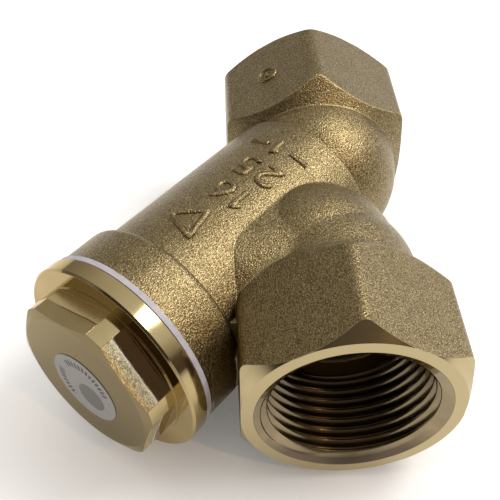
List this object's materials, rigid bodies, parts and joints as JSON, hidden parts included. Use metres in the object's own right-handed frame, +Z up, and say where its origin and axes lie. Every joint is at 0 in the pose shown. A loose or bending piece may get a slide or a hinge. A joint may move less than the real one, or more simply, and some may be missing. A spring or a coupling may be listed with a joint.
{
  "type": "y strainer",
  "caption": "Cast brass Y strainer with two female pipe-thread hexagon ends, an angled screen branch, a perforated screen, and a gasketed screw cap.",
  "frame": {"origin": "centre of the inlet face, on the run's axis", "axes": "+X along the run from the inlet to the outlet, the branch in the XY plane towards -Y, +Z up through a corner of both hexagon ends"},
  "size_m": [0.0956, 0.0807, 0.0454],
  "materials": {
    "body": "sand cast and shot blasted, with machined ends",
    "screen": "perforated stainless sheet",
    "gasket": "white PTFE, smooth",
    "cap": "turned from bar with milled flats, bright",
    "sticker": "printed film"
  },
  "bodies": {
    "body": {"body": "body"},
    "screen": {"screen": "screen"},
    "gasket": {"gasket": "gasket"},
    "cap": {"cap": "cap", "sticker": "sticker"}
  },
  "joints": [
    {"name": "screen_withdraw", "type": "slide", "parent": "body", "child": "screen", "axis": [0.7547, -0.6561, 0], "range_m": [0, 0.056]},
    {"name": "gasket_lift", "type": "slide", "parent": "screen", "child": "gasket", "axis": [0.7547, -0.6561, 0], "range_m": [0, 0.0106]},
    {"name": "cap_unscrew", "type": "hinge", "parent": "gasket", "child": "cap", "pos_m": [0.0294, 0, 0], "axis": [0.7547, -0.6561, 0], "range_deg": [0, 2520]}
  ],
  "couplings": [
    {"joint": "gasket_lift", "follows": "cap_unscrew", "m_per_rad": 0.00023873}
  ]
}
